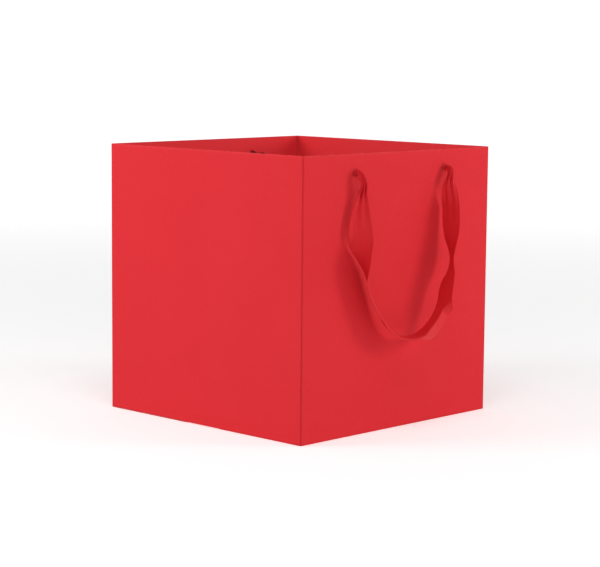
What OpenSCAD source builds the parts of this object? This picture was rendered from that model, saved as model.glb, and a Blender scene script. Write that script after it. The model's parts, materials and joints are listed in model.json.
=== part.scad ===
// Square-bottomed paper gift bag with two ribbon handles, made of two folded
// half sheets, rim cards, a loose base board and barred ribbon ends.
// The origin is on the floor under the bag's centre: +Z up, front panel at -Y.

/* [Bag] */
// Width of the front and back panels
bag_w = 250; // [180:1:400]
// Depth from the front panel to the back panel
bag_d = 250; // [120:1:400]
// Height from the floor to the rim
bag_h = 250; // [210:1:500]
// Thickness of the laminated paper
paper_t = 0.3; // [0.2:0.05:0.5]
// Width of the glue tab inside each side seam
seam_w = 18; // [10:1:30]

/* [Rim] */
// Depth of the paper turned in at the rim
hem_h = 40; // [30:1:60]
// Thickness of the card inside the turned-in rim
card_t = 0.8; // [0.5:0.1:2]
// Height of the card, less than the turned-in paper
card_h = 36; // [25:1:38]
// Gap between the card's ends and the side panels
card_gap = 3; // [1:0.5:10]

/* [Bottom] */
// Length by which the front and back flaps lap over each other
flap_lap = 40; // [20:1:60]
// Size of the corners cut off the front and back flaps
flap_cut = 40; // [10:1:60]
// Depth of the flaps folded in from the sides
side_flap_d = 90; // [40:1:110]
// Gap between a flap's edge and the panels beside it
flap_gap = 0.2; // [0.1:0.1:2]
// Thickness of the loose base board
board_t = 1.5; // [0.8:0.1:3]
// Gap between the base board and what it passes when it is lifted out
board_gap = 1; // [0.5:0.1:4]

/* [Handles] */
// Distance between the two holes of one handle
hole_spacing = 120; // [90:1:150]
// Distance from the rim down to the centres of the holes
hole_drop = 17; // [15:1:24]
// Radius of the handle holes
hole_r = 2.7; // [2:0.1:4]
// Radial clearance of the gathered ribbon end in its hole
end_clearance = 0.1; // [0.05:0.05:0.5]
// Length of ribbon end that stands out of the hole
end_out = 0.5; // [0.2:0.1:0.6]
// Width of the ribbon
ribbon_w = 22; // [12:1:22]
// Thickness of the ribbon
ribbon_t = 0.8; // [0.4:0.1:1]
// Distance from the front panel to the line that the ribbon swings about
swing_out = 3.1; // [3:0.1:5]

/* [Anchor bars] */
// Length of the bar that holds a ribbon end inside the bag
bar_l = 26; // [16:1:28]
// Radius of the bar
bar_r = 1.6; // [1:0.1:2.5]
// Radius of the round boss that grips the ribbon end
boss_r = 3.2; // [3:0.1:5]
// Length of the boss, from its outer face to the bar's axis
boss_l = 1.8; // [1.6:0.1:4]
// Gap between the boss and the turned-in paper
boss_gap = 0.3; // [0.1:0.1:1]
// Chamfer at the ends of the bar
bar_chamfer = 0.4; // [0.1:0.1:0.8]

/* [Hidden] */
PAPER_RED = [0.80, 0.10, 0.13];
INSIDE_RED = [0.76, 0.11, 0.14];
RIBBON_RED = [0.72, 0.07, 0.09];
BOARD_GREY = [0.72, 0.70, 0.66];
BAR_BLACK = [0.03, 0.03, 0.03];

// Paper, card and turned-in paper together at a handled panel
wall_stack = 2 * paper_t + card_t;
hole_z = bag_h - hole_drop;
end_r = hole_r - end_clearance;
// Insides of the plain walls, measured from the bag's centre
inner_x = bag_w / 2 - paper_t;
inner_y = bag_d / 2 - paper_t;
// Three layers of bottom flaps lie under the base board
floor_z = 3 * paper_t;
// Outer face of the boss, and the bar's axis, measured from the bag's centre
boss_y = bag_d / 2 - wall_stack - boss_gap;
bar_y = boss_y - boss_l;
board_w = 2 * (inner_x - paper_t - board_gap);
board_d = 2 * (bar_y - bar_r - board_gap);
// Clear space where two folded parts meet at a corner
corner_gap = 0.1;
hole_fn = 48;

// The front ribbon from its left hole to its right one, chosen by hand. Each
// row is x for holes 120 apart, distance out from the panel, drop below the
// holes, turn of its flat side in degrees, share of its width, and layers.
ROUTE_SPACING = 120;
RIBBON_ROUTE = [
    [-60, 3.1, 0.3, -90, 0.26, 4],
    [-60, 4.6, 3.5, -86, 0.26, 4],
    [-59, 6.2, 8, -74, 0.28, 4],
    [-58.5, 7.2, 13.5, -60, 0.34, 3],
    [-59.5, 7.6, 22, -52, 0.52, 2],
    [-61.5, 8, 33, -48, 0.76, 1.5],
    [-63, 8.8, 43, -46, 0.95, 1],
    [-63.5, 10.2, 52, -40, 1, 1],
    [-63, 11.6, 61, -22, 1, 1],
    [-62.5, 12.8, 71, 3, 1, 1],
    [-59.5, 12.5, 82, 26, 1, 1],
    [-55.5, 11.5, 92.5, 42, 1, 1],
    [-51, 11.5, 104, 43, 1, 1],
    [-45.5, 12, 115, 40, 1, 1],
    [-39, 13.5, 126, 34, 1, 1],
    [-31.5, 15, 136, 27, 1, 1],
    [-23, 16.5, 143, 18, 1, 1],
    [-12.5, 18, 147, 6, 1, 1],
    [-1.5, 19, 148, -3, 1, 1],
    [9, 19.5, 147, -6, 1, 1],
    [18.5, 20, 143.5, -8, 1, 1],
    [26.5, 20.5, 138, -10, 1, 1],
    [33.5, 21, 130, -13, 1, 1],
    [38.5, 21, 120.5, -15, 1, 1],
    [41, 20.5, 110.5, -17, 1, 1],
    [44.5, 20, 100.5, -22, 1, 1],
    [49, 19, 91.5, -36, 1, 1],
    [51.5, 18, 82.5, -42, 1, 1],
    [53, 17, 73, -34, 1, 1],
    [54.5, 15, 61, -15, 1, 1],
    [55.5, 13.5, 48, -5, 1, 1],
    [55.5, 12.8, 35, -4, 0.96, 1],
    [55.5, 11.5, 24, 16, 0.72, 1.5],
    [56, 9.2, 14, 46, 0.5, 2],
    [58, 6.4, 8, 70, 0.34, 3],
    [60, 4.6, 3.5, 86, 0.26, 4],
    [60, 3.1, 0.3, 90, 0.26, 4]
];
// Corners of the ribbon's section, as shares of half its width and thickness
RIBBON_SECTION = [
    [1, 0.4], [0.8, 1], [-0.8, 1], [-1, 0.4],
    [-1, -0.4], [-0.8, -1], [0.8, -1], [1, -0.4]
];

// The rear half sheet and what it carries are the front ones turned half round
module turned() {
    rotate([0, 0, 180]) children();
}

// A box between two opposite corners
module block(low, high) {
    translate(low) cube(high - low);
}

// The two holes of the front handle, right through the rim's layers
module handle_holes() {
    for (side = [-1, 1])
        translate([side * hole_spacing / 2, -bag_d / 2 - paper_t, hole_z])
            rotate([-90, 0, 0])
                cylinder(r = hole_r, h = wall_stack + 2 * paper_t, $fn = hole_fn);
}

module panel() {
    color(PAPER_RED)
        difference() {
            block([-bag_w / 2, -bag_d / 2, 0], [bag_w / 2, -inner_y, bag_h]);
            handle_holes();
        }
}

// The half of a side panel on one side of its centre crease
module gusset_half(side) {
    low_y = side < 0 ? -inner_y : 0;
    color(PAPER_RED)
        block([inner_x, low_y, 0], [bag_w / 2, low_y + inner_y, bag_h]);
}

module seam_tab() {
    color(PAPER_RED)
        block([inner_x - seam_w, inner_y - paper_t, floor_z + corner_gap],
              [inner_x, inner_y, bag_h - hem_h - corner_gap]);
}

// Paper folded over the rim's card and down inside a handled panel
module panel_turn_in() {
    half_w = inner_x - paper_t - corner_gap;
    color(INSIDE_RED)
        difference() {
            union() {
                block([-half_w, -inner_y, bag_h - paper_t],
                      [half_w, -inner_y + card_t + paper_t, bag_h]);
                block([-half_w, -inner_y + card_t, bag_h - hem_h],
                      [half_w, -inner_y + card_t + paper_t, bag_h]);
            }
            handle_holes();
        }
}

module side_turn_in() {
    half_d = bag_d / 2 - wall_stack - corner_gap;
    color(INSIDE_RED)
        block([inner_x - paper_t, -half_d, bag_h - hem_h], [inner_x, half_d, bag_h]);
}

module rim_card() {
    half_w = inner_x - card_gap;
    color(BOARD_GREY)
        difference() {
            block([-half_w, -inner_y, bag_h - paper_t - card_h],
                  [half_w, -inner_y + card_t, bag_h - paper_t]);
            handle_holes();
        }
}

// A front or back flap, with its far corners cut off, lying at one layer
module panel_flap(layer) {
    half_w = inner_x - flap_gap;
    color(PAPER_RED)
        translate([0, 0, layer * paper_t])
            linear_extrude(paper_t)
                polygon([
                    [-half_w, -inner_y], [half_w, -inner_y],
                    [half_w, flap_lap / 2 - flap_cut],
                    [half_w - flap_cut, flap_lap / 2],
                    [-half_w + flap_cut, flap_lap / 2],
                    [-half_w, flap_lap / 2 - flap_cut]
                ]);
}

// A side flap, with 45 degree ends, lying over the other two
module side_flap() {
    half_d = inner_y - flap_gap;
    near_x = inner_x - side_flap_d;
    color(PAPER_RED)
        translate([0, 0, 2 * paper_t])
            linear_extrude(paper_t)
                polygon([
                    [inner_x, -half_d], [inner_x, half_d],
                    [near_x, half_d - side_flap_d], [near_x, -half_d + side_flap_d]
                ]);
}

module base_board() {
    color(BOARD_GREY)
        block([-board_w / 2, -board_d / 2, floor_z],
              [board_w / 2, board_d / 2, floor_z + board_t]);
}

function unit(v) = v / norm(v);

function route_point(row) = [
    row[0] * hole_spacing / ROUTE_SPACING,
    -bag_d / 2 - row[1] - (swing_out - RIBBON_ROUTE[0][1]),
    hole_z - row[2]
];

function route_direction(i) =
    unit(route_point(RIBBON_ROUTE[min(i + 1, len(RIBBON_ROUTE) - 1)])
         - route_point(RIBBON_ROUTE[max(i - 1, 0)]));

// The way straight out from the panel, made square to the ribbon's direction
function outward(along) = unit([0, -1, 0] + along[1] * along);

// One ring of corners round the ribbon at row i of its route
function ribbon_ring(i) =
    let (row = RIBBON_ROUTE[i],
         along = route_direction(i),
         out = outward(along),
         across = cos(row[3]) * out + sin(row[3]) * cross(along, out),
         through = cross(along, across))
    [for (corner = RIBBON_SECTION)
        route_point(row)
        + corner[0] * row[4] * ribbon_w / 2 * across
        + corner[1] * row[5] * ribbon_t / 2 * through];

// The two triangles between rings i and i + 1 at side j. Both flat sides are
// split along the same diagonal, so that a thin twisted ribbon stays closed.
function ribbon_wall(i, j) =
    let (sides = len(RIBBON_SECTION),
         k = (j + 1) % sides,
         a = i * sides + j,
         b = (i + 1) * sides + j,
         c = (i + 1) * sides + k,
         d = i * sides + k)
    j < sides / 2 ? [[a, b, c], [a, c, d]] : [[a, b, d], [b, c, d]];

module ribbon() {
    rings = len(RIBBON_ROUTE);
    sides = len(RIBBON_SECTION);
    points = [for (i = [0 : rings - 1]) each ribbon_ring(i)];
    walls = [for (i = [0 : rings - 2]) for (j = [0 : sides - 1])
        each ribbon_wall(i, j)];
    first = [for (j = [0 : sides - 1]) j];
    last = [for (j = [sides - 1 : -1 : 0]) (rings - 1) * sides + j];
    color(RIBBON_RED)
        polyhedron(points = points, faces = concat(walls, [first, last]));
}

// The gathered end of a ribbon, from its boss out through the hole
module ribbon_end(side) {
    color(RIBBON_RED)
        translate([side * hole_spacing / 2, -bag_d / 2 - end_out, hole_z])
            rotate([-90, 0, 0])
                cylinder(r = end_r, h = bag_d / 2 + end_out - boss_y, $fn = hole_fn);
}

// A short round bar with a boss, lying across the inside of a hole
module anchor_bar(side) {
    color(BAR_BLACK)
        translate([side * hole_spacing / 2, -bar_y, hole_z]) {
            rotate([0, 90, 0])
                rotate_extrude($fn = hole_fn)
                    polygon([
                        [0, -bar_l / 2], [bar_r - bar_chamfer, -bar_l / 2],
                        [bar_r, -bar_l / 2 + bar_chamfer],
                        [bar_r, bar_l / 2 - bar_chamfer],
                        [bar_r - bar_chamfer, bar_l / 2], [0, bar_l / 2]
                    ]);
            rotate([90, 0, 0])
                cylinder(r = boss_r, h = boss_l, $fn = hole_fn);
        }
}

panel();  // front_panel
gusset_half(-1);  // right_gusset_front_half
gusset_half(1);  // right_gusset_back_half
seam_tab();  // right_seam_tab
panel_turn_in();  // front_turn_in
side_turn_in();  // right_turn_in
panel_flap(1);  // front_bottom_flap
side_flap();  // right_bottom_flap
turned() panel();  // back_panel
turned() gusset_half(-1);  // left_gusset_back_half
turned() gusset_half(1);  // left_gusset_front_half
turned() seam_tab();  // left_seam_tab
turned() panel_turn_in();  // back_turn_in
turned() side_turn_in();  // left_turn_in
turned() panel_flap(0);  // back_bottom_flap
turned() side_flap();  // left_bottom_flap
rim_card();  // front_card
turned() rim_card();  // back_card
base_board();
ribbon();  // front_ribbon
turned() ribbon();  // back_ribbon
ribbon_end(-1);  // front_left_ribbon_end
ribbon_end(1);  // front_right_ribbon_end
turned() ribbon_end(1);  // back_left_ribbon_end
turned() ribbon_end(-1);  // back_right_ribbon_end
anchor_bar(-1);  // front_left_bar
anchor_bar(1);  // front_right_bar
turned() anchor_bar(1);  // back_left_bar
turned() anchor_bar(-1);  // back_right_bar
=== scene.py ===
import json
import math

import bpy
import bmesh
import numpy as np
from mathutils import Matrix, Vector, noise


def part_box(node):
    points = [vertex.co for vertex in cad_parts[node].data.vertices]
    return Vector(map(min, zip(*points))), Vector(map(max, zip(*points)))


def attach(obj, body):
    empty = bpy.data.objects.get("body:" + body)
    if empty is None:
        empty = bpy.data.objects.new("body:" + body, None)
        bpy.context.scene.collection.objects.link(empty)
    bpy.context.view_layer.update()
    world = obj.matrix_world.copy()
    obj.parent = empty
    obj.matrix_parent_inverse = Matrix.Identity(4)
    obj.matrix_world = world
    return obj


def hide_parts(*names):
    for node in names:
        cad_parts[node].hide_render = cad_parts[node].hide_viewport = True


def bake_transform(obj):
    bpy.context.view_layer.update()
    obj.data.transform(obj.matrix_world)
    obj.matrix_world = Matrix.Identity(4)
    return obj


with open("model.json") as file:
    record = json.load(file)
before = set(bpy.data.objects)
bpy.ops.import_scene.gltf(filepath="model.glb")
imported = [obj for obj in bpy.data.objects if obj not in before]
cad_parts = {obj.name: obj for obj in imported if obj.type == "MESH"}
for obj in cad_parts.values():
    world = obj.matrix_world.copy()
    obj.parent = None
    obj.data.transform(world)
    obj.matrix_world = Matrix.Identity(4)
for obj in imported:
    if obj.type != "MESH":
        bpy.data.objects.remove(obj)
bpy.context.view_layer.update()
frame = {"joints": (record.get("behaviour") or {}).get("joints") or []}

# Every length is in metres, and MM turns a length in millimetres into one.
MM = 0.001
HALF_TURN = Matrix.Rotation(math.pi, 4, "Z")

# Sizes of the bag, read from the frame
PANEL_LOW, PANEL_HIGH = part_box("front_panel")
HALF_W = PANEL_HIGH.x
HALF_D = -PANEL_LOW.y
RIM_Z = PANEL_HIGH.z
PAPER = PANEL_HIGH.y - PANEL_LOW.y
TURN_LOW, TURN_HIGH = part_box("front_turn_in")
SIDE_TURN_LOW, SIDE_TURN_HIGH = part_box("right_turn_in")
TAB_LOW, TAB_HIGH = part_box("right_seam_tab")
CARD_LOW, CARD_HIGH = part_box("front_card")
HEM_Z = TURN_LOW.z
PANEL_STACK = TURN_HIGH.y - PANEL_LOW.y
SIDE_STACK = HALF_W - SIDE_TURN_LOW.x
# The radius of the handle holes in part.scad
HOLE_R = 2.7 * MM
JOINTS = {joint["name"]: joint for joint in frame["joints"]}
LEFT_HOLE = Vector(JOINTS["front_left_anchor_turn"]["pos_m"])


# ---- Small helpers ----

def smooth(low, high, value):
    """0 below low, 1 above high, and an even curve between them."""
    t = min(1.0, max(0.0, (value - low) / (high - low)))
    return t * t * (3 - 2 * t)


def spread(low, high, count, fine=0.0):
    """Stops from low to high, with two closer ones at each end if fine is given."""
    stops = [low + (high - low) * i / count for i in range(count + 1)]
    if fine:
        way = fine if high > low else -fine
        stops += [low + way, low + 3 * way, high - way, high - 3 * way]
    return sorted(stops, reverse=high < low)


def new_piece(name, verts, faces, smooth_angle=35):
    """A mesh object with its faces shaded smooth up to an angle."""
    mesh = bpy.data.meshes.new(name)
    mesh.from_pydata([tuple(v) for v in verts], [], faces)
    mesh.validate()
    piece = bpy.data.objects.new(name, mesh)
    bpy.context.scene.collection.objects.link(piece)
    mesh.shade_smooth()
    mesh.set_sharp_from_angle(angle=math.radians(smooth_angle))
    return piece


def apply_modifiers(piece):
    """Leaves the piece with the mesh that its modifiers make."""
    graph = bpy.context.evaluated_depsgraph_get()
    mesh = bpy.data.meshes.new_from_object(piece.evaluated_get(graph), depsgraph=graph)
    piece.modifiers.clear()
    piece.data = mesh


def grid_faces(columns, rows, first=0, keep=lambda i, j: True):
    """Quads between neighbouring columns and rows of points numbered column by column."""
    return [
        (first + i * rows + j, first + (i + 1) * rows + j,
         first + (i + 1) * rows + j + 1, first + i * rows + j + 1)
        for i in range(columns - 1) for j in range(rows - 1) if keep(i, j)
    ]


def lathe(profile, sides):
    """Points and faces of a closed shape of revolution about X, from (x, radius) pairs."""
    verts = []
    for x, radius in profile:
        for k in range(sides):
            angle = 2 * math.pi * k / sides
            verts.append((x, radius * math.cos(angle), radius * math.sin(angle)))
    faces = [
        (i * sides + k, (i + 1) * sides + k,
         (i + 1) * sides + (k + 1) % sides, i * sides + (k + 1) % sides)
        for i in range(len(profile) - 1) for k in range(sides)
    ]
    faces.append(tuple(range(sides)))
    faces.append(tuple(reversed(range((len(profile) - 1) * sides, len(profile) * sides))))
    return verts, faces


def outward_normals(piece):
    """Turns every face of a closed piece outwards."""
    bm = bmesh.new()
    bm.from_mesh(piece.data)
    bmesh.ops.recalc_face_normals(bm, faces=bm.faces)
    bm.to_mesh(piece.data)
    bm.free()


# ---- Camera, at the photograph's viewing angle ----

CAMERA_AZIMUTH = math.radians(-45.89)
CAMERA_ELEVATION = math.radians(7.23)
CAMERA_ROLL = math.radians(0.50)
CAMERA_DISTANCE = 1.812
CAMERA_TARGET = Vector((0.00135, 0.0, 0.11914))


def direction(azimuth, elevation):
    """The way from the object towards a camera or light. Azimuth 0 is on the -Y side."""
    return Vector((
        math.sin(azimuth) * math.cos(elevation),
        -math.cos(azimuth) * math.cos(elevation),
        math.sin(elevation),
    ))


def make_camera():
    back = direction(CAMERA_AZIMUTH, CAMERA_ELEVATION)
    right = (-back).cross(Vector((0, 0, 1))).normalized()
    up = right.cross(-back)
    across = right * math.cos(CAMERA_ROLL) + up * math.sin(CAMERA_ROLL)
    above = -right * math.sin(CAMERA_ROLL) + up * math.cos(CAMERA_ROLL)
    turn = Matrix((across, above, back)).transposed().to_4x4()
    data = bpy.data.cameras.new("camera")
    data.lens = 115.1
    data.sensor_width = 36
    camera = bpy.data.objects.new("camera", data)
    camera.matrix_world = Matrix.Translation(CAMERA_TARGET + back * CAMERA_DISTANCE) @ turn
    bpy.context.scene.collection.objects.link(camera)
    bpy.context.scene.camera = camera


# ---- Ribbons ----

# The front ribbon from its left hole to its right one: x, distance out from
# the panel, drop below the holes, turn of its flat side in degrees, and share
# of its width.
RIBBON_ROUTE = [
    (-0.0600, 0.0031, 0.0003, -90, 0.26),
    (-0.0600, 0.0046, 0.0035, -86, 0.26),
    (-0.0590, 0.0062, 0.0080, -74, 0.28),
    (-0.0585, 0.0072, 0.0135, -60, 0.34),
    (-0.0595, 0.0076, 0.0220, -52, 0.52),
    (-0.0615, 0.0080, 0.0330, -48, 0.76),
    (-0.0630, 0.0088, 0.0430, -46, 0.95),
    (-0.0635, 0.0102, 0.0520, -40, 1.00),
    (-0.0630, 0.0116, 0.0610, -22, 1.00),
    (-0.0625, 0.0128, 0.0710, 3, 1.00),
    (-0.0595, 0.0125, 0.0820, 26, 1.00),
    (-0.0555, 0.0115, 0.0925, 42, 1.00),
    (-0.0510, 0.0115, 0.1040, 43, 1.00),
    (-0.0455, 0.0120, 0.1150, 40, 1.00),
    (-0.0390, 0.0135, 0.1260, 34, 1.00),
    (-0.0315, 0.0150, 0.1360, 27, 1.00),
    (-0.0230, 0.0165, 0.1430, 18, 1.00),
    (-0.0125, 0.0180, 0.1470, 6, 1.00),
    (-0.0015, 0.0190, 0.1480, -3, 1.00),
    (0.0090, 0.0195, 0.1470, -6, 1.00),
    (0.0185, 0.0200, 0.1435, -8, 1.00),
    (0.0265, 0.0205, 0.1380, -10, 1.00),
    (0.0335, 0.0210, 0.1300, -13, 1.00),
    (0.0385, 0.0210, 0.1205, -15, 1.00),
    (0.0410, 0.0205, 0.1105, -17, 1.00),
    (0.0445, 0.0200, 0.1005, -22, 1.00),
    (0.0490, 0.0190, 0.0915, -36, 1.00),
    (0.0515, 0.0180, 0.0825, -42, 1.00),
    (0.0530, 0.0170, 0.0730, -34, 1.00),
    (0.0545, 0.0150, 0.0610, -15, 1.00),
    (0.0555, 0.0135, 0.0480, -5, 1.00),
    (0.0555, 0.0128, 0.0350, -4, 0.96),
    (0.0555, 0.0115, 0.0240, 16, 0.72),
    (0.0560, 0.0092, 0.0140, 46, 0.50),
    (0.0580, 0.0064, 0.0080, 70, 0.34),
    (0.0600, 0.0046, 0.0035, 86, 0.26),
    (0.0600, 0.0031, 0.0003, 90, 0.26),
]
RIBBON_W = 22 * MM
RIBBON_T = 0.45 * MM
# Pleats across the gathered ribbon
PLEATS = 2.5
# Near 0 the pleats are a sine wave, and at 1 they are a zigzag
PLEAT_SHARP = 0.96
RINGS_PER_POINT = 8
QUADS_ACROSS = 36
# Where the route starts, just in front of the panel
ROUTE_START_OUT = 0.7 * MM
# How far the gathered ribbon stands out past its route just below a hole
BUNCH_OUT = 3.2 * MM
# The gathered ribbon inside a hole, and where its weave starts
PLUG_R = 2.4 * MM
PLUG_FOLDS = 9
PLUG_WEAVE_SHIFT = 0.5 * MM


def route_with_ends():
    """The route with a point at each end that leads straight into its hole."""
    left, right = RIBBON_ROUTE[0], RIBBON_ROUTE[-1]
    first = (left[0], ROUTE_START_OUT, 0.0, left[3], left[4])
    last = (right[0], ROUTE_START_OUT, 0.0, right[3], right[4])
    return np.array([first, *RIBBON_ROUTE, last])


def bunch_out(drop):
    """How much further out the stiff gathered ribbon stands just below its hole."""
    starts = smooth(-1.5 * MM, 1.5 * MM, drop)
    ends = smooth(4 * MM, 20 * MM, drop)
    return BUNCH_OUT * starts * (1 - ends)


def smooth_route():
    """Rows of the route on one smooth curve through all of its points."""
    rows = route_with_ends()
    padded = np.vstack([2 * rows[0] - rows[1], rows, 2 * rows[-1] - rows[-2]])
    found = []
    for i in range(1, len(padded) - 2):
        a, b, c, d = padded[i - 1:i + 3]
        for k in range(RINGS_PER_POINT):
            t = k / RINGS_PER_POINT
            found.append(0.5 * (
                2 * b + (c - a) * t + (2 * a - 5 * b + 4 * c - d) * t ** 2
                + (3 * b - 3 * c + d - a) * t ** 3))
    found.append(rows[-1])
    return np.array(found)


def rear_lip(x, drop):
    """Width and angle of the turned border next to the panel, on the left leg."""
    if x > 0:
        return 0.0, 0.0
    shown = smooth(3 * MM, 9 * MM, drop) * (1 - smooth(56 * MM, 70 * MM, drop))
    width = (2.4 + 3.2 * smooth(8 * MM, 30 * MM, drop)) * MM
    return width * shown, math.radians(40) * shown


def front_lip(x, drop):
    """Width and angle of the turned outer border, round the lower part of the loop."""
    if x < 0:
        shown = smooth(72 * MM, 92 * MM, drop)
    else:
        shown = smooth(116 * MM, 128 * MM, drop)
    rightwards = smooth(-50 * MM, 38 * MM, x)
    width = (1.6 + 8.4 * smooth(-4 * MM, 26 * MM, x)) * MM
    return width * shown, math.radians(50 + 55 * rightwards) * shown


def turn_border(across, through, edge, sign, angle):
    """Turns what lies past an edge of the section about that edge."""
    past = (across - edge) * sign
    if past <= 0:
        return across, through
    return edge + sign * past * math.cos(angle), through + past * math.sin(angle)


def section_point(u, share, rear, front):
    """Place of width position u, from -1 to 1, as (across, through) in metres."""
    fold = RIBBON_W / (2 * PLEATS) * math.sqrt(max(0.0, 1 - min(1.0, share) ** 2))
    fold *= 1 - 0.55 * smooth(0.32, 0.60, share)
    wave = math.asin(PLEAT_SHARP * math.sin(math.pi * PLEATS * u)) / math.asin(PLEAT_SHARP)
    rounded = 1 - smooth(0.35, 0.75, share) if share < 0.75 else 0.0
    taper = 1 - 0.62 * rounded * u ** 4
    across = u * share * RIBBON_W / 2
    through = 0.5 * fold * wave * taper + 0.5 * MM * share * (u * u - 0.33)
    half = share * RIBBON_W / 2
    across, through = turn_border(across, through, rear[0] - half, -1, rear[1])
    return turn_border(across, through, half - front[0], 1, front[1])


def ribbon_frames():
    """Centre, across and through directions, share and turned borders of each ring."""
    rows = smooth_route()
    outs = rows[:, 1] + [bunch_out(drop) for drop in rows[:, 2]]
    centres = np.column_stack([rows[:, 0], -HALF_D - outs, LEFT_HOLE.z - rows[:, 2]])
    tangents = np.gradient(centres, axis=0)
    frames = []
    for row, centre, tangent in zip(rows, centres, tangents):
        along = Vector(tangent).normalized()
        out = (Vector((0, -1, 0)) + along.y * along).normalized()
        turn = math.radians(row[3])
        across = math.cos(turn) * out + math.sin(turn) * along.cross(out)
        lips = rear_lip(row[0], row[2]), front_lip(row[0], row[2])
        frames.append((Vector(centre), across, along.cross(across), min(1.0, row[4]), *lips))
    return frames


def make_ribbon(name, turned):
    """A pleated, twisted ribbon loop with woven UVs, and the line that it follows."""
    frames = ribbon_frames()
    stops = QUADS_ACROSS + 1
    verts = []
    for centre, across, through, share, rear, front in frames:
        for k in range(stops):
            a, t = section_point(2 * k / QUADS_ACROSS - 1, share, rear, front)
            verts.append(centre + across * a + through * t)
    centres = [f[0] for f in frames]
    piece = new_piece(name, verts, grid_faces(len(frames), stops), 60)
    lengths = [0.0]
    for a, b in zip(centres, centres[1:]):
        lengths.append(lengths[-1] + (b - a).length)
    uvs = piece.data.uv_layers.new(name="weave")
    for loop in piece.data.loops:
        ring, k = divmod(loop.vertex_index, stops)
        uvs.data[loop.index].uv = (k / QUADS_ACROSS, lengths[ring] / RIBBON_W)
    solid = piece.modifiers.new("thickness", "SOLIDIFY")
    solid.thickness = RIBBON_T
    solid.offset = 0
    apply_modifiers(piece)
    if turned:
        piece.data.transform(HALF_TURN)
        centres = [HALF_TURN @ c for c in centres]
    return piece, centres


def make_ribbon_end(name, hole, outwards):
    """The gathered ribbon inside a hole: a plug with folds along it and a rounded outer end."""
    low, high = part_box(name)
    depth = high.y - low.y
    profile = [(0.0, 0.90), (0.15, 0.98), (0.5, 1.0), (0.8, 0.99), (0.92, 0.9), (0.98, 0.72),
               (1.0, 0.4)]
    verts, faces = lathe([(x * depth, r * PLUG_R) for x, r in profile], 72)
    pleated = []
    for x, y, z in verts:
        angle = math.atan2(z, y)
        swell = 1 + 0.055 * math.cos(PLUG_FOLDS * angle + 500 * x) - 0.03 * math.cos(2 * angle)
        pleated.append((x, y * swell, z * swell))
    piece = new_piece(name.replace("ribbon_end", "gathered_end"), pleated, faces, 50)
    outward_normals(piece)
    turn = Matrix.Rotation(math.radians(-90 * outwards), 4, "Z")
    inner_y = high.y if outwards > 0 else low.y
    piece.data.transform(Matrix.Translation((hole.x, inner_y, hole.z)) @ turn)
    uvs = piece.data.uv_layers.new(name="weave")
    for loop in piece.data.loops:
        v = piece.data.vertices[loop.vertex_index].co
        angle = math.atan2(v.z - hole.z, v.x - hole.x)
        along = v.y - low.y + PLUG_WEAVE_SHIFT
        uvs.data[loop.index].uv = (0.5 + angle / (2 * math.pi), along / RIBBON_W)
    return piece


# ---- Paper sheets ----

# Radii of the upright folds and of the fold into the bottom flaps
OUTER_FOLD_R = 1.1 * MM
SEAM_FOLD_R = 0.8 * MM
BOTTOM_LIP_R = 0.6 * MM
# How far a panel's raw edge stops short of the corner
RAW_EDGE = 0.4 * MM
# The front and back flaps have corners cut at 45 degrees, this far along each edge
FLAP_CUT = 40 * MM
# Steps of the mesh
CELL = 6 * MM
WALL_ROWS = 42
HEM_ROWS = 8
FOLD_STEPS = 8
# How far rubbing and a painted highlight show below the rim, and how far painted shade reaches beside
# an upright fold and along the floor
WEAR_AND_HIGHLIGHT_REACH = 1.6 * MM
CREASE_SHADE_REACH = 1.8 * MM
# The rim narrows over RIM_STEP, starting CARD_EASE past the end of the card
CARD_EASE = 0.15 * MM
RIM_STEP = 1.1 * MM


def arc(centre, radius, start, end, count=6):
    """Points round an arc, each with the way in towards the bag."""
    found = []
    for i in range(1, count):
        angle = math.radians(start + (end - start) * i / count)
        way = Vector((math.cos(angle), math.sin(angle)))
        found.append((centre + way * radius, -way))
    return found


def stretch(start, end, inward, fine=0.5 * MM):
    """Points along a straight stretch between two corners."""
    length = (end - start).length
    count = max(1, round(length / CELL))
    return [(start.lerp(end, s / length), inward) for s in spread(0, length, count, fine)]


def sheet_columns():
    """Where a half sheet runs, seen from above: (place, way in, part of the sheet)."""
    panel_ends = -HALF_W + RAW_EDGE, HALF_W - OUTER_FOLD_R
    panel = stretch(Vector((panel_ends[0], -HALF_D)), Vector((panel_ends[1], -HALF_D)), Vector((0, 1)))
    panel += [(Vector((side * (CARD_HIGH.x + past), -HALF_D)), Vector((0, 1)))
              for side in (-1, 1) for past in (CARD_EASE, CARD_EASE + RIM_STEP)]
    panel.sort(key=lambda stop: stop[0].x)
    corner = arc(Vector((HALF_W - OUTER_FOLD_R, -HALF_D + OUTER_FOLD_R)), OUTER_FOLD_R, -90, 0)
    gusset = stretch(Vector((HALF_W, -HALF_D + OUTER_FOLD_R)),
                     Vector((HALF_W, HALF_D - PAPER - SEAM_FOLD_R)), Vector((-1, 0)))
    seam = arc(Vector((HALF_W - SEAM_FOLD_R, HALF_D - PAPER - SEAM_FOLD_R)), SEAM_FOLD_R, 0, 90)
    tab = stretch(Vector((HALF_W - SEAM_FOLD_R, HALF_D - PAPER)),
                  Vector((TAB_LOW.x, HALF_D - PAPER)), Vector((0, -1)))
    parts = [("panel", panel), ("corner", corner), ("gusset", gusset), ("seam", seam), ("tab", tab)]
    return [(place, way, part) for part, stops in parts for place, way in stops]


def rim_stack(place, part):
    """Thickness of the folded rim, which is less past the ends of the card."""
    if part != "panel":
        return SIDE_STACK
    past = smooth(CARD_HIGH.x + CARD_EASE, CARD_HIGH.x + CARD_EASE + RIM_STEP, abs(place.x))
    return PANEL_STACK + (SIDE_STACK - PANEL_STACK) * past


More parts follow.
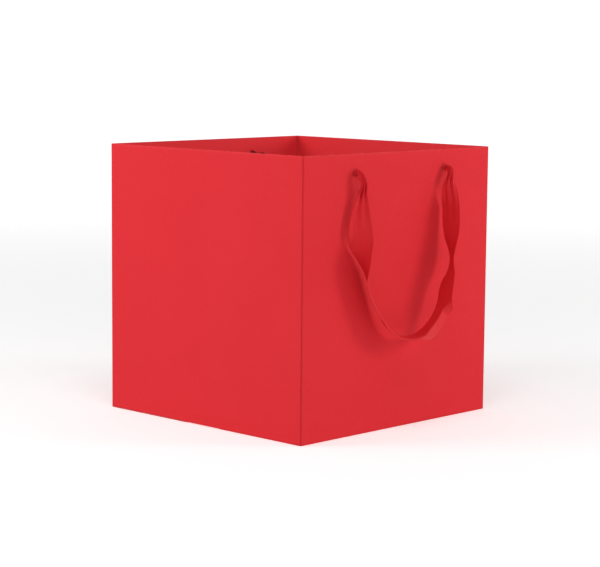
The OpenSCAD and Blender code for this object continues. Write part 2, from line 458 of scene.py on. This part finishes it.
def sag(place, z, part, seed):
    """How far the standing paper leans in from flat, in metres."""
    if part not in ("panel", "gusset"):
        return 0.0
    side = place.x / HALF_W if part == "panel" else place.y / HALF_D
    height = z / HEM_Z
    across = max(0.0, 1 - side * side)
    below_rim = 1 - smooth(HEM_Z - 45 * MM, HEM_Z + 10 * MM, z)
    above_floor = smooth(0, 45 * MM, z)
    hold = across * below_rim * above_floor
    ripple = noise.noise(Vector((place.x * 14 + seed, place.y * 14, z * 11)))
    below_hem = 1 - smooth(HEM_Z - 10 * MM, HEM_Z, z)
    depth = 0.45 * MM * hold + 0.22 * MM * ripple * across * above_floor * below_hem
    if part == "gusset":
        crease = math.exp(-abs(place.y) / (16 * MM))
        depth += 0.75 * MM * crease * (0.25 + 0.75 * below_rim) * smooth(0, 0.3, height)
    else:
        depth -= 0.10 * MM * smooth(CARD_LOW.z - 1 * MM, CARD_LOW.z + 1 * MM, z) * across ** 0.2
    return depth


def inner_place(place, part):
    """Where the turned-in paper goes: a panel's stops short of the side wall's."""
    ease = 12 * MM
    moved = place.copy()
    if part == "panel" and place.x < -HALF_W + ease:
        t = (-HALF_W + ease - place.x) / (ease - RAW_EDGE)
        moved.x = -HALF_W + ease - t * (ease - SIDE_STACK - 0.02 * MM)
    return moved


def sheet_rows(lip_z, stack):
    """The sheet's rows in order: (offset inwards, height, part of the row)."""
    half = stack / 2
    bend_z = RIM_Z - half
    rows = [(0.0, z, "outside") for z in spread(lip_z, bend_z, WALL_ROWS, 0.8 * MM)]
    for i in range(1, FOLD_STEPS):
        angle = math.pi * i / FOLD_STEPS
        c = math.cos(angle)
        squared = math.copysign(abs(c) ** 0.65, c)
        rows.append((half * (1 - squared), bend_z + half * abs(math.sin(angle)) ** 0.65, "fold"))
    rows += [(stack, z, "inside") for z in spread(bend_z, HEM_Z, HEM_ROWS, 0.8 * MM)]
    return rows


def wear_and_highlight_at(z, kind):
    """Rubbed wear and painted highlight mask: 1 on the rim's fold, falling to 0 a little way below it.
    """
    return 1.0 if kind == "fold" else max(0.0, 1 - (RIM_Z - z) / WEAR_AND_HIGHLIGHT_REACH)


def crease_shade_at(place, part, z):
    """Painted shade mask: 1 on an upright fold or raw edge and along the floor, falling to 0 beside
    it.
    """
    if part in ("corner", "seam"):
        return 1.0
    ends = HALF_W - abs(place.x) if part == "panel" else HALF_D - abs(place.y)
    return max(0.0, 1 - min(abs(ends), z) / CREASE_SHADE_REACH)


def folded_walls(lip_z, seed):
    """Points, faces, and (rim wear with painted highlight, painted crease shade, inside) of each point
    of a half sheet's walls and rim.
    """
    columns = sheet_columns()
    verts, marks = [], []
    kinds = [row[2] for row in sheet_rows(lip_z["panel"], PANEL_STACK)]
    for place, way, part in columns:
        low = lip_z["panel"] if part == "panel" else lip_z["gusset"]
        for offset, z, kind in sheet_rows(low, rim_stack(place, part)):
            at = place if kind == "outside" else inner_place(place, part)
            if kind == "fold":
                at = place.lerp(at, min(1.0, offset / rim_stack(place, part)))
            lean = sag(place, z, part, seed)
            at = at + way * (offset + (lean if kind == "outside" else 0.0))
            verts.append(Vector((at.x, at.y, z)))
            marks.append((wear_and_highlight_at(z, kind), crease_shade_at(place, part, z), float(kind == "inside")))
    rows = len(kinds)

    def keep(i, j):
        if "tab" not in (columns[i][2], columns[i + 1][2]):
            return True
        return kinds[j] == "outside" and verts[i * rows + j + 1].z <= HEM_Z

    return verts, grid_faces(len(columns), rows, keep=keep), marks


def flap_points(node, part):
    """Points and faces of a bottom flap, from its fold's quarter round to its cut corners."""
    low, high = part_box(node)
    base_z = low.z
    ways = 24
    verts = []
    if part == "panel":
        reach = high.y - low.y
        half = (high.x - low.x) / 2
        cut = FLAP_CUT
    else:
        reach = high.x - low.x
        half = (high.y - low.y) / 2
        cut = reach
    edge = HALF_D if part == "panel" else HALF_W
    inward = [(BOTTOM_LIP_R * (1 - math.cos(a)), BOTTOM_LIP_R * (1 - math.sin(a)))
              for a in (math.pi / 2 * i / 5 for i in range(6))]
    count = round((reach - BOTTOM_LIP_R) / CELL)
    inward += [(d, 0.0) for d in spread(BOTTOM_LIP_R, reach, count)[1:]]
    for depth, rise in inward:
        narrow = max(0.0, depth - (reach - cut))
        width = half - narrow
        for k in range(ways + 1):
            across = width * (2 * k / ways - 1)
            z = base_z + rise
            if part == "panel":
                verts.append(Vector((across, -edge + depth, z)))
            else:
                verts.append(Vector((edge - depth, across, z)))
    return verts, grid_faces(len(inward), ways + 1)


def make_half_sheet(name, turned, panel_flap, side_flap, seed, outside, inside):
    """One folded half sheet: two standing walls, glue tab, turned-in rim and two bottom flaps."""
    lip_z = {
        "panel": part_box(panel_flap)[0].z + BOTTOM_LIP_R,
        "gusset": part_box(side_flap)[0].z + BOTTOM_LIP_R,
    }
    verts, faces, marks = folded_walls(lip_z, seed)
    for node, part in ((panel_flap, "panel"), (side_flap, "gusset")):
        more, more_faces = flap_points(node, part)
        first = len(verts)
        verts += more
        faces += [tuple(first + index for index in face) for face in more_faces]
        marks += [(0.0, 0.0, 0.0)] * len(more)
    piece = new_piece(name, verts, faces, 32)
    for column, mark in enumerate(("wear_and_highlight", "crease", "inside")):
        attribute = piece.data.attributes.new(mark, "FLOAT", "POINT")
        attribute.data.foreach_set("value", [row[column] for row in marks])
    dress(piece, outside, inside)
    solid = piece.modifiers.new("thickness", "SOLIDIFY")
    solid.thickness = PAPER * 0.96
    solid.offset = -1
    solid.material_offset = 1
    solid.material_offset_rim = 0
    apply_modifiers(piece)
    if turned:
        piece.data.transform(HALF_TURN)
    return piece


def cut_holes(piece, y_sign):
    """Cuts the two handle holes through a piece at the front or the back panel."""
    for side in (-1, 1):
        verts, faces = lathe([(-4 * MM, HOLE_R), (4 * MM, HOLE_R)], 48)
        cutter = new_piece("hole_cutter", verts, faces)
        outward_normals(cutter)
        cutter.data.transform(
            Matrix.Translation((side * LEFT_HOLE.x, y_sign * HALF_D, LEFT_HOLE.z))
            @ Matrix.Rotation(math.pi / 2, 4, "Z"))
        cut = piece.modifiers.new("hole", "BOOLEAN")
        cut.operation = "DIFFERENCE"
        cut.solver = "EXACT"
        cut.object = cutter
        apply_modifiers(piece)
        bpy.data.objects.remove(cutter)


# ---- Boards ----

def make_board(name, low, high, warp, corner_r, bevel, seed):
    """A board, thin along its box's shortest side, with soft edges and a slight warp."""
    thin = min(range(3), key=lambda axis: high[axis] - low[axis])
    wide = [axis for axis in range(3) if axis != thin]
    size = high - low
    steps = [max(2, round(size[axis] / (8 * MM))) for axis in wide]
    verts = []
    for i in range(steps[0] + 1):
        for j in range(steps[1] + 1):
            v = low.copy()
            v[wide[0]] += size[wide[0]] * i / steps[0]
            v[wide[1]] += size[wide[1]] * j / steps[1]
            bend = (1 - (2 * i / steps[0] - 1) ** 2) * (1 - (2 * j / steps[1] - 1) ** 2)
            ripple = noise.noise(Vector((v[wide[0]] * 12 + seed, v[wide[1]] * 12, 0)))
            v[thin] += warp * (bend + 0.4 * ripple * bend)
            verts.append(v)
    corners = {0, steps[1], steps[0] * (steps[1] + 1), len(verts) - 1}
    centre = (low + high) / 2
    for index in corners:
        for axis in wide:
            verts[index][axis] += math.copysign(corner_r * 0.3, centre[axis] - verts[index][axis])
    piece = new_piece(name, verts, grid_faces(steps[0] + 1, steps[1] + 1))
    solid = piece.modifiers.new("thickness", "SOLIDIFY")
    solid.thickness = size[thin]
    solid.offset = 1
    round_edges = piece.modifiers.new("edges", "BEVEL")
    round_edges.width = bevel
    round_edges.segments = 2
    round_edges.limit_method = "ANGLE"
    round_edges.angle_limit = math.radians(60)
    apply_modifiers(piece)
    lowest = min(v.co[thin] for v in piece.data.vertices)
    shift = [0.0, 0.0, 0.0]
    shift[thin] = low[thin] - lowest
    piece.data.transform(Matrix.Translation(shift))
    outward_normals(piece)
    piece.data.shade_smooth()
    piece.data.set_sharp_from_angle(angle=math.radians(50))
    return piece


# ---- Anchor bars ----

BAR_R = 1.6 * MM
# Distances from the middle of the bar to the two grip rings at each end
GRIP_RINGS = (8.5 * MM, 7 * MM)


def make_bar(node, hole, outwards):
    """A moulded bar with rounded ends, two rings at each end and a collared boss to the hole."""
    low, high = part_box(node)
    half = (high.x - low.x) / 2
    radius = (high.z - low.z) / 2
    end, ring = 0.5 * MM, 0.18 * MM
    profile = [(-half, BAR_R - end), (-half + 0.15 * MM, BAR_R - 0.2 * MM), (-half + end, BAR_R)]
    for away in GRIP_RINGS:
        profile += [(-away - ring, BAR_R), (-away, BAR_R - ring), (-away + ring, BAR_R)]
    profile += [(-x, r) for x, r in reversed(profile)]
    bar = new_piece(node.replace("bar", "anchor_bar"), *lathe(profile, 48), 40)
    outward_normals(bar)
    boss_l = high.y - low.y - BAR_R
    collar = [(0, radius - 0.5 * MM), (0.3 * MM, radius - 0.15 * MM), (0.7 * MM, radius - 0.15 * MM),
              (0.9 * MM, radius), (boss_l - 0.15 * MM, radius), (boss_l, radius - 0.15 * MM)]
    boss = new_piece("boss", *lathe(collar, 48), 40)
    outward_normals(boss)
    boss.data.transform(Matrix.Rotation(math.radians(-90 * outwards), 4, "Z"))
    join = bar.modifiers.new("boss", "BOOLEAN")
    join.operation = "UNION"
    join.solver = "EXACT"
    join.object = boss
    apply_modifiers(bar)
    bpy.data.objects.remove(boss)
    axis_y = high.y - BAR_R if outwards > 0 else low.y + BAR_R
    bar.data.transform(Matrix.Translation((hole.x, axis_y, hole.z)))
    bar.data.shade_smooth()
    bar.data.set_sharp_from_angle(angle=math.radians(40))
    return bar


# ---- Materials ----

def new_material(name, base, roughness, **constants):
    """A node material, with its node tree and its shader."""
    material = bpy.data.materials.new(name)
    material.use_nodes = True
    tree = material.node_tree
    shader = tree.nodes["Principled BSDF"]
    shader.inputs["Base Color"].default_value = (*base, 1)
    shader.inputs["Roughness"].default_value = roughness
    for socket, value in constants.items():
        shader.inputs[socket.replace("_", " ")].default_value = value
    return material, tree, shader


def add_noise(tree, source, scale, detail=3, stretch_by=(1, 1, 1)):
    """Noise on coordinates from a socket, scaled differently along each axis."""
    mapping = tree.nodes.new("ShaderNodeMapping")
    mapping.inputs["Scale"].default_value = stretch_by
    texture = tree.nodes.new("ShaderNodeTexNoise")
    texture.inputs["Scale"].default_value = scale
    texture.inputs["Detail"].default_value = detail
    tree.links.new(source, mapping.inputs["Vector"])
    tree.links.new(mapping.outputs["Vector"], texture.inputs["Vector"])
    return texture.outputs["Fac"]


def add_mix(tree, factor, first, second):
    """A colour mixed from two colours or sockets by a factor socket."""
    mix = tree.nodes.new("ShaderNodeMix")
    mix.data_type = "RGBA"
    tree.links.new(factor, mix.inputs["Factor"])
    for socket, value in ((mix.inputs[6], first), (mix.inputs[7], second)):
        if isinstance(value, tuple):
            socket.default_value = (*value, 1)
        else:
            tree.links.new(value, socket)
    return mix.outputs[2]


def add_range(tree, value, low, high, to_low=0.0, to_high=1.0):
    """A socket's value taken from one range to another, and held at its ends."""
    node = tree.nodes.new("ShaderNodeMapRange")
    names = "From Min", "From Max", "To Min", "To Max"
    for socket, number in zip(names, (low, high, to_low, to_high)):
        node.inputs[socket].default_value = number
    tree.links.new(value, node.inputs["Value"])
    return node.outputs["Result"]


def add_math(tree, operation, *values):
    """A Math node on numbers and sockets, given in the order that its operation takes them."""
    node = tree.nodes.new("ShaderNodeMath")
    node.operation = operation
    for socket, value in zip(node.inputs, values):
        if isinstance(value, (int, float)):
            socket.default_value = value
        else:
            tree.links.new(value, socket)
    return node.outputs[0]


def add_attribute(tree, name):
    """A number that the mesh holds for each of its points."""
    node = tree.nodes.new("ShaderNodeAttribute")
    node.attribute_name = name
    return node.outputs["Fac"]


def add_bump(tree, shader, height, distance, strength=1.0, before=None):
    """Bump from a height socket, on top of an earlier bump if one is given."""
    bump = tree.nodes.new("ShaderNodeBump")
    bump.inputs["Distance"].default_value = distance
    bump.inputs["Strength"].default_value = strength
    tree.links.new(height, bump.inputs["Height"])
    if before is not None:
        tree.links.new(before, bump.inputs["Normal"])
    tree.links.new(bump.outputs["Normal"], shader.inputs["Normal"])
    return bump.outputs["Normal"]


def object_coordinates(tree):
    return tree.nodes.new("ShaderNodeTexCoord").outputs["Object"]


def red_paper():
    """Matt laminated paper: pressed fibres under film, faint mottle, rubbed folds with a painted
    highlight on the rim, painted shade along upright folds and the foot of the walls, and a brighter
    painted-light copy of the red on the turned-in hem.
    """
    material, tree, shader = new_material(
        "red_laminated_paper", (0.66, 0.023, 0.031), 0.68,
        Specular_IOR_Level=0.09)
    place = object_coordinates(tree)
    mottle = add_noise(tree, place, 16, 4)
    cloud = add_mix(tree, add_range(tree, mottle, 0.3, 0.7),
                    (0.650, 0.022, 0.030), (0.668, 0.024, 0.032))
    fibre = add_noise(tree, place, 900, 2, (1, 1, 0.35))
    fleck = add_mix(tree, add_range(tree, fibre, 0.35, 0.65, 0.0, 0.3),
                    cloud, (0.695, 0.028, 0.036))
    # Painted light: the turned-in hem is the same red paper, given a brighter copy of the red to stand
    # in for light inside the bag
    turned_in_painted_light = add_mix(tree, add_attribute(tree, "inside"), fleck, (0.94, 0.043, 0.053))
    # Rubbed wear and painted highlight: patchy paler red on the rim's fold, partly laminate rubbed
    # through, partly painted highlight where the rim catches the light
    rub_and_highlight_patches = add_range(tree, add_noise(tree, place, 260, 5), 0.4, 0.7, 0.1, 0.4)
    rub_and_highlight = add_math(tree, "MULTIPLY", add_attribute(tree, "wear_and_highlight"), rub_and_highlight_patches)
    worn_and_highlit = add_mix(tree, rub_and_highlight, turned_in_painted_light, (0.84, 0.10, 0.11))
    # Painted shade: darker red along the upright folds, the raw edge and the foot of the walls, where
    # shade falls
    crease = add_math(tree, "MULTIPLY", add_attribute(tree, "crease"), 0.55)
    colour = add_mix(tree, crease, worn_and_highlit, (0.46, 0.014, 0.020))
    tree.links.new(colour, shader.inputs["Base Color"])
    roughness = add_range(tree, add_noise(tree, place, 420, 3), 0.3, 0.7, 0.62, 0.74)
    tree.links.new(roughness, shader.inputs["Roughness"])
    first = add_bump(tree, shader, add_noise(tree, place, 260, 3), 0.00003, 0.4)
    add_bump(tree, shader, fibre, 0.00004, 0.6, first)
    return material


def pale_paper():
    """The bare inner side of the paper."""
    material, tree, shader = new_material(
        "bare_paper", (0.82, 0.80, 0.76), 0.8,
        Specular_IOR_Level=0.25)
    place = object_coordinates(tree)
    fibre = add_noise(tree, place, 700, 4, (1, 1, 0.4))
    cloud = add_noise(tree, place, 25, 3)
    base = add_mix(tree, add_range(tree, cloud, 0.3, 0.7),
                   (0.80, 0.78, 0.74), (0.85, 0.83, 0.79))
    colour = add_mix(tree, add_range(tree, fibre, 0.55, 0.75, 0, 0.5),
                     base, (0.68, 0.65, 0.60))
    tree.links.new(colour, shader.inputs["Base Color"])
    add_bump(tree, shader, fibre, 0.00008, 0.7)
    return material


def grey_board():
    """Recycled board: mixed grey fibres and dark flecks."""
    material, tree, shader = new_material(
        "grey_board", (0.56, 0.53, 0.48), 0.85,
        Specular_IOR_Level=0.2)
    place = object_coordinates(tree)
    fibre = add_noise(tree, place, 420, 5, (1, 0.3, 1))
    cross = add_noise(tree, place, 520, 5, (0.3, 1, 1))
    base = add_mix(tree, add_range(tree, fibre, 0.35, 0.65),
                   (0.50, 0.475, 0.43), (0.62, 0.59, 0.54))
    mixed = add_mix(tree, add_range(tree, cross, 0.4, 0.7, 0, 0.5),
                    base, (0.68, 0.65, 0.60))
    fleck = add_range(tree, add_noise(tree, place, 650, 2), 0.68, 0.74, 0, 0.75)
    tree.links.new(add_mix(tree, fleck, mixed, (0.24, 0.22, 0.21)), shader.inputs["Base Color"])
    first = add_bump(tree, shader, fibre, 0.00012, 0.7)
    add_bump(tree, shader, cross, 0.0001, 0.6, first)
    return material


def black_plastic():
    """Moulded plastic with a fine spark-eroded grain."""
    material, tree, shader = new_material(
        "black_plastic", (0.010, 0.010, 0.011), 0.50,
        Specular_IOR_Level=0.25)
    place = object_coordinates(tree)
    grain = add_noise(tree, place, 3200, 2)
    tone = add_mix(tree, add_noise(tree, place, 500, 3),
                   (0.007, 0.007, 0.008), (0.014, 0.014, 0.015))
    tree.links.new(tone, shader.inputs["Base Color"])
    tree.links.new(add_range(tree, grain, 0.3, 0.7, 0.42, 0.60), shader.inputs["Roughness"])
    add_bump(tree, shader, grain, 0.00004, 0.6)
    return material


# Ribs in a length of ribbon as long as it is wide, warp threads across it, and
# the share of its width that each selvedge takes
RIBS_PER_WIDTH = 62
WARP_THREADS = 80
SELVEDGE = 0.045


def ribbon_weave():
    """Woven ribbon: fine ribs across it, warp threads along it, painted shade in the low parts of the
    weave, and a denser selvedge.
    """
    material, tree, shader = new_material(
        "red_ribbon", (0.70, 0.024, 0.032), 0.55,
        Specular_IOR_Level=0.10, Sheen_Weight=0.02, Sheen_Roughness=0.4, Anisotropic=0.3)
    shader.inputs["Sheen Tint"].default_value = (1.0, 0.12, 0.12, 1)
    weave = tree.nodes.new("ShaderNodeUVMap")
    weave.uv_map = "weave"
    split = tree.nodes.new("ShaderNodeSeparateXYZ")
    tree.links.new(weave.outputs["UV"], split.inputs["Vector"])
    across, along = split.outputs["X"], split.outputs["Y"]
    turn = 2 * math.pi
    rib = add_math(tree, "SINE", add_math(tree, "MULTIPLY", along, turn * RIBS_PER_WIDTH))
    warp = add_math(tree, "SINE", add_math(tree, "MULTIPLY", across, turn * WARP_THREADS))
    cloth = add_math(tree, "MULTIPLY_ADD", rib, 0.65, warp)
    from_middle = add_math(tree, "ABSOLUTE", add_math(tree, "SUBTRACT", across, 0.5))
    selvedge = add_range(tree, from_middle, 0.5 - SELVEDGE, 0.5 - SELVEDGE * 0.6)
    slub = add_noise(tree, weave.outputs["UV"], 30, 4, (1, 8, 1))
    base = add_mix(tree, add_range(tree, slub, 0.3, 0.7), (0.68, 0.021, 0.029), (0.76, 0.028, 0.036))
    # Painted shade: darker red in the low parts of the weave, following the same height as the bump
    weave_gap_shade = add_mix(tree, add_range(tree, cloth, -1.2, 1.2, 0.0, 0.45), (0.58, 0.014, 0.020), base)
    body = add_mix(tree, add_range(tree, cloth, -1.4, 1.2, 0.35, 1.0), weave_gap_shade, base)
    colour = add_mix(tree, add_math(tree, "MULTIPLY", selvedge, 0.35), body, (0.62, 0.017, 0.023))
    tree.links.new(colour, shader.inputs["Base Color"])
    tree.links.new(add_range(tree, slub, 0.3, 0.7, 0.40, 0.52), shader.inputs["Roughness"])
    first = add_bump(tree, shader, cloth, 0.00005, 0.5)
    add_bump(tree, shader, selvedge, 0.0001, 0.7, first)
    return material


def dress(piece, *materials):
    """Gives the piece these materials in place of any it has."""
    piece.data.materials.clear()
    for material in materials:
        piece.data.materials.append(material)


# ---- Floor and light ----

FLOOR_R = 2.6
WALL_BEND = 1.2
# The floor lies this far under the bag, so that the two never share a face
FLOOR_GAP = 0.05 * MM


def make_stage():
    """A pale round floor that curves up into a low white wall."""
    profile = [(r, 0.0) for r in (0.5, 1.5, FLOOR_R)]
    profile += [(FLOOR_R + WALL_BEND * math.sin(a), WALL_BEND * 0.75 * (1 - math.cos(a)))
                for a in (math.pi / 2 * i / 10 for i in range(1, 11))]
    sides = 96
    angles = [2 * math.pi * k / sides for k in range(sides)]
    verts = [(r * math.cos(angle), r * math.sin(angle), z - FLOOR_GAP)
             for r, z in profile for angle in angles]
    faces = [(i * sides + k, i * sides + (k + 1) % sides,
              (i + 1) * sides + (k + 1) % sides, (i + 1) * sides + k)
             for i in range(len(profile) - 1) for k in range(sides)]
    faces.append(tuple(range(sides)))
    floor = new_piece("studio_floor", verts, faces, 60)
    material, tree, shader = new_material(
        "studio_white", (0.80, 0.80, 0.80), 0.9,
        Specular_IOR_Level=0.1)
    shader.inputs["Emission Color"].default_value = (1, 1, 1, 1)
    length = tree.nodes.new("ShaderNodeVectorMath")
    length.operation = "LENGTH"
    tree.links.new(object_coordinates(tree), length.inputs[0])
    glow = add_range(tree, length.outputs["Value"], 0.35, 2.0, 0.42, 0.70)
    tree.links.new(glow, shader.inputs["Emission Strength"])
    dress(floor, material)


def add_area_light(name, azimuth, elevation, distance, size, strength):
    """A square soft light aimed at the bag. Strength 1 lights a facing white sheet to white."""
    way = direction(math.radians(azimuth), math.radians(elevation))
    data = bpy.data.lights.new(name, "AREA")
    data.size = size
    data.energy = strength * math.pi ** 2 * distance ** 2
    light = bpy.data.objects.new(name, data)
    centre = Vector((0, 0, RIM_Z * 0.8))
    light.location = centre + way * distance
    light.rotation_euler = way.to_track_quat("Z", "Y").to_euler()
    light.visible_camera = False
    bpy.context.scene.collection.objects.link(light)


def make_lights():
    add_area_light("key_light", 34, 13, 1.2, 0.36, 0.26)
    add_area_light("left_light", -120, 24, 1.1, 0.46, 0.32)
    add_area_light("top_light", -46, 60, 2.0, 1.0, 0.30)
    world = bpy.data.worlds.new("studio")
    world.use_nodes = True
    background = world.node_tree.nodes["Background"]
    background.inputs["Color"].default_value = (1, 1, 1, 1)
    background.inputs["Strength"].default_value = 0.24
    bpy.context.scene.world = world
    bpy.context.scene.view_settings.view_transform = "Standard"


# ---- Assembly ----

def build_handle(side, turned, ribbon_material):
    """One ribbon loop with its two gathered ends."""
    sign = -1 if turned else 1
    for place in ("left", "right"):
        hole = Vector(JOINTS[f"{side}_{place}_anchor_turn"]["pos_m"])
        plug = make_ribbon_end(f"{side}_{place}_ribbon_end", hole, sign)
        dress(plug, ribbon_material)
        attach(plug, f"{side}_{place}_anchor")
        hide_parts(f"{side}_{place}_ribbon_end")
    loop, line = make_ribbon(f"{side}_ribbon_loop", turned)
    dress(loop, ribbon_material)
    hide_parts(f"{side}_ribbon")
    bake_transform(loop)


SHEETS = {
    "front": ("front_panel", "right_gusset_front_half", "right_gusset_back_half", "right_seam_tab",
              "front_turn_in", "right_turn_in", "front_bottom_flap", "right_bottom_flap"),
    "back": ("back_panel", "left_gusset_back_half", "left_gusset_front_half", "left_seam_tab",
             "back_turn_in", "left_turn_in", "back_bottom_flap", "left_bottom_flap"),
}


def build_sheet(side, turned, outside, inside):
    nodes = SHEETS[side]
    panel_flap, side_flap = nodes[-2:]
    sheet = make_half_sheet(f"{side}_half_sheet", turned, panel_flap, side_flap,
                            7.0 if turned else 0.0, outside, inside)
    cut_holes(sheet, 1 if turned else -1)
    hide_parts(*nodes)
    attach(sheet, "bag")


def build_card(side, turned, board):
    low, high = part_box(f"{side}_card")
    spare = Vector((0, 0.08 * MM, 0))
    card = make_board(f"{side}_rim_card", low + spare, high - spare, 0.0, 1 * MM, 0.12 * MM, 3.0)
    cut_holes(card, 1 if turned else -1)
    dress(card, board)
    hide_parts(f"{side}_card")
    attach(card, "bag")


def build_bars(side, turned, plastic):
    sign = -1 if turned else 1
    for place in ("left", "right"):
        hole = Vector(JOINTS[f"{side}_{place}_anchor_turn"]["pos_m"])
        bar = make_bar(f"{side}_{place}_bar", hole, sign)
        dress(bar, plastic)
        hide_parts(f"{side}_{place}_bar")
        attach(bar, f"{side}_{place}_anchor")


def build_base(board):
    low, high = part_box("base_board")
    base = make_board("loose_base_board", low, high, 0.25 * MM, 2 * MM, 0.3 * MM, 0.0)
    dress(base, board)
    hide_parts("base_board")
    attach(base, "base_board")


make_camera()
WEAVE = ribbon_weave()
build_handle("front", False, WEAVE)
build_handle("back", True, WEAVE)
OUTSIDE, INSIDE, BOARD, PLASTIC = red_paper(), pale_paper(), grey_board(), black_plastic()
for SIDE, TURNED in (("front", False), ("back", True)):
    build_sheet(SIDE, TURNED, OUTSIDE, INSIDE)
    build_card(SIDE, TURNED, BOARD)
    build_bars(SIDE, TURNED, PLASTIC)
build_base(BOARD)
make_stage()
make_lights()
